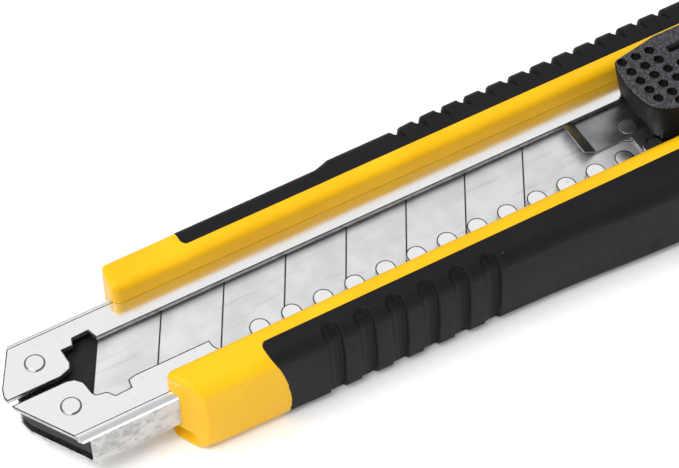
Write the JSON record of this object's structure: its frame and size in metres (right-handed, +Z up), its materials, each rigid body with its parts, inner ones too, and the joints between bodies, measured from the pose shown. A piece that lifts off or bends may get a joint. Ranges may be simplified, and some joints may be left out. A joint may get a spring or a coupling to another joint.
{
  "type": "utility knife",
  "caption": "Snap-off utility knife with a sliding blade carrier in a steel guide rail, a sprung blade magazine and a two-colour soft-grip handle with a pull-off end cap.",
  "frame": {"origin": "the middle of the knife's box, on the surface that its belly lies on", "axes": "+X along the knife towards the nose, +Y towards the blade's cutting edge and the finger grip, +Z up from the belly to the thumb pad"},
  "size_m": [0.166, 0.0314, 0.0199],
  "materials": {
    "yellow_plastic": "satin moulded ABS",
    "grip_rubber": "fine matt overmould",
    "rail_chrome": "bright plated sheet",
    "blade_steel": "ground carbon steel",
    "spring_steel": "rolled strip",
    "dark_steel": "plain",
    "black_plastic": "fine matt",
    "pad_plastic": "fine spark-eroded texture"
  },
  "bodies": {
    "handle": {"handle_shell": "yellow_plastic", "back_grip": "grip_rubber", "finger_grip": "grip_rubber", "guide_rail": "rail_chrome", "nose_block": "black_plastic", "nose_rivet": "dark_steel", "rear_block": "black_plastic", "rail_screws": "dark_steel", "magazine_spring": "spring_steel"},
    "slider": {"thumb_pad": "pad_plastic", "slider_carriage": "black_plastic", "blade_carrier": "spring_steel", "carrier_rivets": "dark_steel", "blade_stud": "dark_steel", "lock_spring": "spring_steel", "lock_spring_rivet": "dark_steel", "working_blade": "blade_steel"},
    "spare_stack": {"lift_plate": "spring_steel", "upper_spare_blade": "blade_steel", "lower_spare_blade": "blade_steel"},
    "cap": {"end_cap": "black_plastic"}
  },
  "joints": [
    {"name": "slider_slide", "type": "slide", "parent": "handle", "child": "slider", "axis": [1, 0, 0], "range_m": [-0.00509, 0.07635], "deforming": ["lock_spring"]},
    {"name": "stack_lift", "type": "slide", "parent": "handle", "child": "spare_stack", "axis": [0, 0, 1], "range_m": [-0.003, 0], "stiffness_N_per_m": 300, "springref_m": 0.004, "deforming": ["magazine_spring"]},
    {"name": "cap_pull", "type": "slide", "parent": "handle", "child": "cap", "axis": [-1, 0, 0], "range_m": [0, 0.015]}
  ]
}
